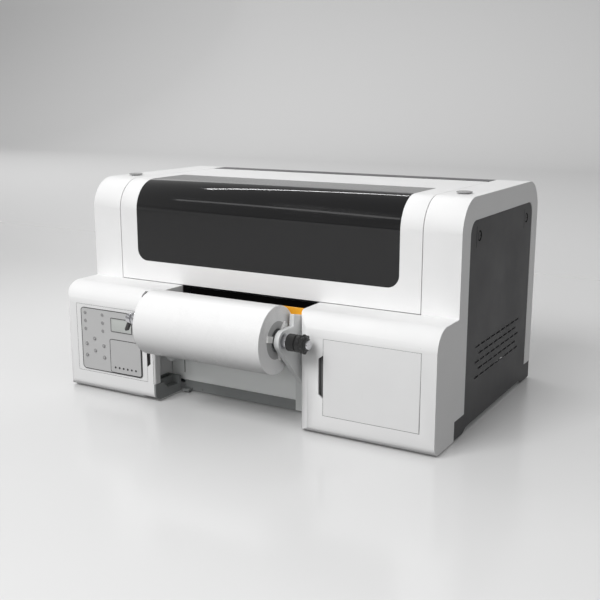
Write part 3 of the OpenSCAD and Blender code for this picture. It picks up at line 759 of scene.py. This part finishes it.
for side in ("left", "right"):
    low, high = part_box(f"{side}_roof_button")
    centre = (low + high) / 2
    base = Vector((centre.x, centre.y, low.z))
    height = (high.z - low.z) / MM

    def disc(bm):
        profile = [
            (0, 0),
            (0, 9.2),
            (0.8, 10),
            (height - 3.4, 10),
            (height - 3.2, 15.8),
            (height - 2.7, 17, knurled),
            (height - 2.2, 17.4, knurled),
            (height - 0.9, 17.4, knurled),
            (height - 0.3, 16.9, knurled),
            (height, 15.8),
            (height - 0.05, 14.2),
            (height - 0.7, 13.4),
            (height - 0.9, 0),
        ]
        turned(bm, in_mm(profile), base, (0, 0, 1), 240)

    made = piece(f"{side}_knurled_button", f"button_{side}", "button_grey", None, disc, smooth=28)
    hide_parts(f"{side}_roof_button")

# ---------------------------------------------------------------- rubber pads


def pads(bm):
    """Ribbed pads that stand on the floor."""
    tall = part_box("foot_pads")[1].z
    spots = [(x, y, 17) for x in (-476, 476) for y in (146, 626)] + [(-209, 110, 8)]
    for x, y, r in spots:
        profile = [(0, 0), (0, r * 0.35), (tall / MM * 0.25, r * 0.4), (tall / MM * 0.25, r * 0.55)]
        profile += [(0, r * 0.6), (0, r * 0.88), (0.5, r), (tall / MM, r), (tall / MM, 0)]
        spot = at(x, y, 0)
        turned(bm, in_mm(profile), spot, (0, 0, 1), 48)


rubber = piece("ribbed_pads", "machine", "pad_rubber", None, pads)
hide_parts("foot_pads")

# ---------------------------------------------------------------- ink bottles

bottle_low, bottle_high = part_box("ink_bottles")
bottle_radius = 19 * MM
bottle_order = ["cyan", "magenta", "yellow", "black", "white", "white", "varnish", "varnish"]
for number, ink in enumerate(bottle_order):
    column, row = number % 4, number // 4
    gap_x = (bottle_high.x - bottle_low.x - 2 * bottle_radius) / 3
    gap_y = bottle_high.y - bottle_low.y - 2 * bottle_radius
    base = Vector(
        (
            bottle_low.x + bottle_radius + column * gap_x,
            bottle_low.y + bottle_radius + row * gap_y,
            bottle_low.z,
        )
    )

    def bottle(bm):
        profile = [(0, 0), (1.5, 0), (0, 11), (0, 16.5), (1, 18.3), (3, 19), (26, 19), (27, 18.6)]
        profile += [(72, 18.6), (73, 19), (90, 19), (96, 17.8), (101, 15)]
        profile += [(104, 12.5), (106, 11), (110, 11), (110, 0)]
        turned(bm, in_mm(profile), base, (0, 0, 1), 64)

    def cap(bm):
        def ribs(angle):
            return 1 - 0.03 * (math.cos(36 * angle) > 0)

        profile = [(105, 0), (105, 11.8), (106, 12), (106.5, 12, ribs)]
        profile += [(122, 12, ribs), (124, 11.6), (126, 10), (126, 0)]
        turned(bm, in_mm(profile), base, (0, 0, 1), 144)

    plastic = surface(
        f"ink_{ink}_{number}", inks[ink], 0.3, depth=0.08, mottle=0.03, Subsurface_Weight=0.1
    )
    body_piece = piece(f"bottle_{number + 1}", "machine", "bottle_plastic", plastic, bottle)
    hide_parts("ink_bottles")
    piece(f"bottle_cap_{number + 1}", "machine", "bottle_plastic", cap_black, cap, smooth=30)

# ---------------------------------------------------------------- fan


def fan_blades(bm):
    """Seven twisted blades on a dished hub."""
    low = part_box("fan_rotor")[0]
    centre = Vector((0, low.y, at(0, 0, FAN_Z).z))
    hub = [(0, 3.1), (0, 16.5), (1.5, 18), (15, 18), (16.5, 16.5), (17, 0)]
    bore = [(10, 0), (10, 3.1)]
    turned(bm, in_mm(bore + hub), centre, (0, 1, 0), 64)
    blades, across, along = 7, 8, 6
    thick = 1.1 * MM
    for k in range(blades):
        sheets = []
        for side in (-1, 1):
            sheet = []
            for i in range(along + 1):
                t = i / along
                r = (17.5 + 36 * t) * MM
                pitch = math.radians(48 - 20 * t)
                chord = (17 + 12 * t) * MM
                row = []
                for j in range(across + 1):
                    s = j / across - 0.5
                    sweep = TURN * k / blades + 0.25 * t + s * chord * math.cos(pitch) / r
                    bowed = 1.2 * MM * (1 - 4 * s * s)
                    deep = 8.5 * MM + s * chord * math.sin(pitch) * 0.62 + bowed
                    y = centre.y + deep + side * thick / 2 * (1 - 2.6 * s * s)
                    spot = (r * math.sin(sweep), y, centre.z + r * math.cos(sweep))
                    row.append(bm.verts.new(spot))
                sheet.append(row)
            sheets.append(sheet)
        for sheet in sheets:
            for near, far in zip(sheet, sheet[1:]):
                for j in range(across):
                    bm.faces.new((near[j], near[j + 1], far[j + 1], far[j]))
        a, b = sheets
        edge = [(i, 0) for i in range(along + 1)] + [(along, j) for j in range(1, across + 1)]
        edge += [(i, across) for i in range(along - 1, -1, -1)]
        edge += [(0, j) for j in range(across - 1, 0, -1)]
        for (i, j), (m, n) in zip(edge, edge[1:] + edge[:1]):
            bm.faces.new((a[i][j], a[m][n], b[m][n], b[i][j]))


fan = piece("fan_blades", "fan", "fan_black", None, fan_blades)
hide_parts("fan_rotor")

# ---------------------------------------------------------------- carriage, rail, belt and motor

carriage_low, carriage_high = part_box("carriage")


def carriage_trim(bm):
    """A raised front fascia, top vents and side louvres on the carriage's cover."""
    low, high = carriage_low / MM, carriage_high / MM
    face = (carriage_low.y - front) / MM
    x0, x1, z0, z1 = low.x + 14, high.x - 14, 314, 418
    plate(bm, rounded_outline(x0, z0, x1, z1, 10), face - 2, face + 0.5)
    for i in range(9):
        x = low.x + 36 + i * 16
        slab(bm, at(x, 205, 429.5), at(x + 8, 290, 431.5))
    for x in (low.x, high.x):
        for i in range(7):
            z = 330 + i * 11
            slab(bm, at(x - 1.6, 200, z), at(x + 1.6, 296, z + 5))


piece("carriage_trim", "print_carriage", "carriage_dark", None, carriage_trim, 0.6)


def carriage_light(bm):
    """A pale strip near the top of the carriage's fascia."""
    face = (carriage_low.y - front) / MM - 2
    plate(bm, rounded_outline(230, 404, 350, 408, 1.8), face - 0.6, face + 0.3)


piece("carriage_light", "print_carriage", "head_steel", icon_pale, carriage_light, 0.2)


def carriage_screws(bm):
    face = (carriage_low.y - front) / MM - 2
    for x in (carriage_low.x / MM + 22, carriage_high.x / MM - 22):
        for z in (322, 410):
            screw(bm, at(x, face, z), (0, -1, 0), 3 * MM, 1.6 * MM)


piece("carriage_screws", "print_carriage", "head_steel", None, carriage_screws)


def nozzle_plates(bm):
    """The heads' dark nozzle faces, which stand just proud of the heads."""
    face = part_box("print_heads")[0].z / MM
    for i in range(3):
        x = carriage_low.x / MM + 40 + i * HEAD_PITCH
        slab(bm, at(x + 3, 200, face - 0.3), at(x + 25, 250, face + 1))


piece("nozzle_plates", "print_carriage", "head_steel", looks["bearing_steel"], nozzle_plates, 0.2)


def rail_bolts(bm):
    """Bolts along the linear rail, and four through the ends of the beam."""
    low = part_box("gantry_beam")[0]
    for i in range(-6, 7):
        screw(bm, at(i * 60, 337.2, 359), (0, -1, 0), 2.7 * MM, 1.2 * MM)
    for x in (-408, 408):
        for z in (345, 385):
            screw(bm, Vector((x * MM, low.y + 10 * MM, z * MM)), (0, -1, 0), 3.4 * MM, 2.5 * MM)


piece("rail_bolts", "machine", "bearing_steel", None, rail_bolts)


def toothed_belt(bm):
    """The belt's loop, with a tooth every 5 mm on its inner side."""
    low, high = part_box("drive_belt")
    radius = (high.y - low.y) / 2
    centre_y = (low.y + high.y) / 2
    reach = (high.x - low.x) / 2 - radius
    straight, arc = 2 * reach, math.pi * radius
    total = 2 * (straight + arc)
    teeth = round(total / (5 * MM))
    steps = teeth * 4

    def place(s, r):
        s %= total
        if s < straight:
            return Vector((-reach + s, centre_y - r, 0))
        s -= straight
        if s < arc:
            a = -math.pi / 2 + s / radius
            return Vector((reach + r * math.cos(a), centre_y + r * math.sin(a), 0))
        s -= arc
        if s < straight:
            return Vector((reach - s, centre_y + r, 0))
        a = math.pi / 2 + (s - straight) / radius
        return Vector((-reach + r * math.cos(a), centre_y + r * math.sin(a), 0))

    rows = []
    for i in range(steps):
        s = total * i / steps
        inner = radius - (1.25 if i % 4 < 2 else 0.7) * MM
        out, into = place(s, radius), place(s, inner)
        corners = (out, low.z), (out, high.z), (into, high.z), (into, low.z)
        rows.append([bm.verts.new(p + Vector((0, 0, z))) for p, z in corners])
    for a, b in zip(rows, rows[1:] + rows[:1]):
        for k in range(4):
            bm.faces.new((a[k], b[k], b[(k + 1) % 4], a[(k + 1) % 4]))


belt = piece("toothed_belt", "machine", "belt_rubber", None, toothed_belt)
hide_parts("drive_belt")


def motor_ends(bm):
    """Bright end plates of the carriage motor, with their screws."""
    low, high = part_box("carriage_motor")
    x, y = -385, (low.y + high.y) / 2
    y = (y - front) / MM
    top = high.z / MM
    for z0, z1 in ((top - 50.2, top - 42), (top - 8, top - 0.1)):
        slab(bm, at(x - 21.3, y - 21.3, z0), at(x + 21.3, y + 21.3, z1))
    for dx in (-15.5, 15.5):
        for dy in (-15.5, 15.5):
            screw(bm, at(x + dx, y + dy, top - 0.2), (0, 0, 1), 2.4 * MM, 1.6 * MM)


piece("motor_ends", "machine", "pulley_aluminium", None, motor_ends, 1.2)


def capping_lips(bm):
    """Soft lips round the three caps, and a wiper blade."""
    wall = 1.6
    y0, y1 = 196, 254
    for i in range(3):
        x0 = 227 + i * HEAD_PITCH
        x1 = x0 + 34
        walls = [
            (x0 - wall, y0 - wall, x1 + wall, y0),
            (x0 - wall, y1, x1 + wall, y1 + wall),
            (x0 - wall, y0, x0, y1),
            (x1, y0, x1 + wall, y1),
        ]
        for left, near, right, far in walls:
            slab(bm, at(left, near, 264), at(right, far, 267.4))
    slab(bm, at(213, 200, 262), at(215, 250, 267.8))


piece("capping_lips", "machine", "station_grey", looks["pinch_rubber"], capping_lips, 0.3)

# ---------------------------------------------------------------- doors, hinges and back


def painted_gap_shade(bm):
    """Black strips in the gaps round the ink door and the control cover, and down the
    edge of the waste tray's niche: painted shade that darkens these gap lines."""
    for name in ("right_door", "control_cover"):
        low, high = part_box(name)
        x0, x1 = low.x / MM, high.x / MM
        z0, z1 = 50.3, 221.7
        outer = rounded_outline(x0 - 0.75, z0 - 0.75, x1 + 0.75, z1 + 0.75, 0.2, 2)
        inner = rounded_outline(x0 - 0.1, z0 - 0.1, x1 + 0.1, z1 + 0.1, 0.1, 2)
        frame_ring(bm, outer, inner, 0.5, 3.4)
    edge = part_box("left_pod")[1].x / MM
    slab(bm, at(edge - 5.6, -0.3, 46.5), at(edge - 4.6, 0.4, 215))
    slab(bm, at(edge - 1.6, 118.4, 46.5), at(edge - 0.4, 119.4, 236))


# painted shade: black strips set in the gaps so the gap lines read dark
piece("painted_gap_shade", "machine", "pad_rubber", None, painted_gap_shade, smooth=60)


def door_ribs(bm):
    """A grid of ribs behind the ink door."""
    low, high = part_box("right_door")
    x0, x1 = low.x / MM + 12, high.x / MM - 14
    z0, z1 = low.z / MM + 10, high.z / MM - 10
    back = (high.y - front) / MM
    for x in (x0, (x0 + x1) / 2, x1 - 2):
        slab(bm, at(x, back - 0.2, z0), at(x + 2, back + 5, z1))
    for z in (z0, (z0 + z1) / 2, z1 - 2):
        slab(bm, at(x0, back - 0.2, z), at(x1, back + 4.8, z + 2))


piece("door_ribs", "ink_door", "door_white", None, door_ribs, 0.3)


def door_catches(bm):
    """Two catch plates behind the ink door's free edge."""
    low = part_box("right_door")[0] / MM
    for z in (low.z + 22, low.z + 140):
        slab(bm, at(low.x + 3, 4, z), at(low.x + 9, 6.6, z + 14))


piece("door_catches", "ink_door", "pin_steel", None, door_catches, 0.3)


def hinge_screws(bm):
    """Countersunk screws through the hinge leaves on the body."""
    for s in (-1, 1):
        for k in (-20, 20):
            screw(bm, at(s * 300 + k, 546, 518.5), (0, 0, 1), 2.2 * MM, 0.6 * MM)


piece("hinge_screws", "machine", "pin_steel", None, hinge_screws)


def back_screws(bm):
    """Rows of button screws that hold the rear cover."""
    back = (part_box("rear_cover")[1].y - front) / MM
    for x in (-396, -132, 132, 396):
        for z in (40, 250, 430):
            screw(bm, at(x, back, z), (0, 1, 0), 3.6 * MM, 1.7 * MM)


piece("back_screws", "machine", "pin_steel", looks["bearing_steel"], back_screws)


def fan_screws(bm):
    """Screws round the fan and beside the sockets, on the rear cover."""
    back = (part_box("rear_cover")[1].y - front) / MM
    for x in (-FAN_SCREW, FAN_SCREW):
        for z in (FAN_Z - FAN_SCREW, FAN_Z + FAN_SCREW):
            screw(bm, at(x, back, z), (0, 1, 0), 3 * MM, 1.6 * MM)
    for x in (-348, -312):
        screw(bm, at(x, back, 90), (0, 1, 0), 2.2 * MM, 1.2 * MM)


piece("fan_screws", "machine", "pin_steel", cap_black, fan_screws)


def lock_rims(bm):
    """Turned rims round the cam locks in both side panels."""
    for sign in (-1, 1):
        for y in (230, 570.5):
            rim = [(-1.2, 9.4), (0.4, 9.4), (0.7, 9.9), (0.7, 11.2)]
            rim += [(0.3, 11.8), (-1.2, 11.8), (-1.2, 9.4)]
            spot = at(sign * 498, y, 435)
            turned(bm, in_mm(rim), spot, (sign, 0, 0), 64)


piece("lock_rims", "machine", "panel_dark", looks["liner_black"], lock_rims)


def hood_buffers(bm):
    """Rubber buffers under the hood's front edge, at both ends."""
    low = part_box("hood")[0]
    for x in (-396, 396):
        spot = Vector((x * MM, low.y + 2.2 * MM, low.z))
        profile = [(-0.9, 0), (-0.9, 1.2), (-0.6, 1.7), (0.4, 1.7)]
        turned(bm, in_mm(profile), spot, (0, 0, 1), 24)


piece("hood_buffers", "hood_lid", "shell_white", looks["pad_rubber"], hood_buffers)


def window_seal(bm):
    """A thin black seal round the window's flat lower part, on the hood's inner side."""
    low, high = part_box("hood_window")
    x0, x1, z0 = low.x / MM, high.x / MM, low.z / MM
    inner = (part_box("hood")[0].y - front) / MM + 4
    outer_line = rounded_outline(x0 - 5, z0 - 5, x1 + 5, 446, 29)
    inner_line = rounded_outline(x0 + 3, z0 + 3, x1 - 3, 445, 26)
    frame_ring(bm, outer_line, inner_line, inner + 0.05, inner + 2)


piece("window_seal", "hood_lid", "window_smoked", looks["pad_rubber"], window_seal, smooth=60)


def slot_painted_shade(bm):
    """A near-black strip along the platen's front edge, behind the film's slot: painted shade that
    makes the slot read dark.
    """
    low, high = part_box("platen")
    near = Vector((low.x + 0.2 * MM, low.y - 1.2 * MM, low.z + 0.5 * MM))
    slab(bm, near, Vector((high.x - 0.2 * MM, low.y + 0.1 * MM, low.z + 25.9 * MM)))


# painted shade: a near-black strip stands in for the shade inside the film's slot
piece("slot_painted_shade", "machine", "panel_dark", looks["liner_black"], slot_painted_shade, bevel=0.2)

# ---------------------------------------------------------------- stage, lights and camera


def floor_look():
    """A pale floor, glossy round the machine and matt further back."""
    made = bpy.data.materials.new("floor_pale")
    made.use_nodes = True
    tree = made.node_tree
    shader = tree.nodes["Principled BSDF"]
    shader.inputs["Base Color"].default_value = (0.74, 0.74, 0.74, 1.0)
    place = add_node(tree, "ShaderNodeTexCoord").outputs["Object"]
    depth = add_node(tree, "ShaderNodeSeparateXYZ", {"Vector": place}).outputs["Y"]
    rough = add_node(
        tree,
        "ShaderNodeMapRange",
        {"Value": depth, "From Min": 1.0, "From Max": 6.0, "To Min": 0.17, "To Max": 0.8},
    )
    tree.links.new(rough.outputs["Result"], shader.inputs["Roughness"])
    return made


def studio():
    """A floor that curves up into a wall far behind."""
    bm = bmesh.new()
    wide, near, far, bend, tall = 16.0, -9.0, 9.0, 2.0, 5.0
    profile = [(near, 0.0), (far - bend, 0.0)]
    for i in range(1, 13):
        a = math.radians(90 * i / 12)
        profile.append((far - bend + bend * math.sin(a), bend - bend * math.cos(a)))
    profile.append((far, tall))
    rows = [[bm.verts.new((x, y, z)) for x in (-wide, wide)] for y, z in profile]
    for a, b in zip(rows, rows[1:]):
        bm.faces.new((a[0], a[1], b[1], b[0]))
    mesh = bpy.data.meshes.new("studio_floor")
    bm.to_mesh(mesh)
    bm.free()
    mesh.shade_smooth()
    mesh.materials.append(floor_look())
    floor = bpy.data.objects.new("studio_floor", mesh)
    bpy.context.scene.collection.objects.link(floor)
    floor.visible_diffuse = False


def soft_light(name, place, aim, size, power, shine=True):
    """A rectangular lamp, which shows in reflections only where shine is set."""
    data = bpy.data.lights.new(name, "AREA")
    data.shape = "RECTANGLE"
    data.size, data.size_y = size
    data.energy = power
    lamp = bpy.data.objects.new(name, data)
    lamp.location = place
    lamp.rotation_euler = (Vector(aim) - Vector(place)).to_track_quat("-Z", "Y").to_euler()
    lamp.visible_glossy = shine
    bpy.context.scene.collection.objects.link(lamp)


studio()
soft_light("key", (-0.9, -4.0, 4.1), (0, -0.1, 0.3), (3.0, 2.2), 203, shine=False)
soft_light("top", (0.2, -0.5, 3.4), (0, 0.1, 0.3), (3.6, 2.6), 8, shine=False)
soft_light("wash", (-5.0, 2.5, 5.5), (-6.0, 9.0, 1.6), (7.0, 3.0), 245)
soft_light("front", (0.4, -4.8, 1.5), (0, -0.2, 0.1), (2.4, 1.0), 28, shine=False)
soft_light("side", (4.4, -0.6, 1.9), (0.3, 0.1, 0.25), (2.5, 2.5), 12)
soft_light("rim", (-6.5, 8.4, 3.1), (0, 0, 0.4), (9.0, 1.8), 30)
soft_light("strip", (-1.1, 1.9, 3.3), (0.8, 0, 0.5), (4.4, 0.11), 24)
soft_light("glint", (-1.6, -3.2, 3.0), (-1.6, 0, 0.4), (7.0, 0.4), 12)

world = bpy.data.worlds.new("studio")
world.use_nodes = True
sky = world.node_tree
aim = add_node(sky, "ShaderNodeTexCoord").outputs["Generated"]
parts = add_node(sky, "ShaderNodeSeparateXYZ", {"Vector": aim}).outputs
across = add_node(
    sky,
    "ShaderNodeMapRange",
    {"Value": parts["X"], "From Min": -1.0, "From Max": 1.0, "To Min": 0.42, "To Max": 0.32},
)
lower = add_node(
    sky,
    "ShaderNodeMapRange",
    {"Value": parts["Z"], "From Min": -0.4, "From Max": 0.1, "To Min": 0.3, "To Max": 1.0},
)
strength = add_node(
    sky,
    "ShaderNodeMath",
    {0: across.outputs["Result"], 1: lower.outputs["Result"]},
    operation="MULTIPLY",
)
sky.links.new(strength.outputs[0], sky.nodes["Background"].inputs["Strength"])
sky.nodes["Background"].inputs["Color"].default_value = (1.0, 1.0, 1.0, 1.0)
bpy.context.scene.world = world
bpy.context.scene.view_settings.view_transform = "Standard"

eye = Vector((1.1578, -1.95995, 0.7365))
forward = Vector((-0.4887, 0.8448, -0.2179))
camera_data = bpy.data.cameras.new("camera")
camera_data.sensor_width = 36
camera_data.lens = 55.72
camera_data.clip_start = 0.05
camera_data.clip_end = 60
camera = bpy.data.objects.new("camera", camera_data)
camera.location = eye
camera.rotation_euler = forward.to_track_quat("-Z", "Y").to_euler()
bpy.context.scene.collection.objects.link(camera)
bpy.context.scene.camera = camera
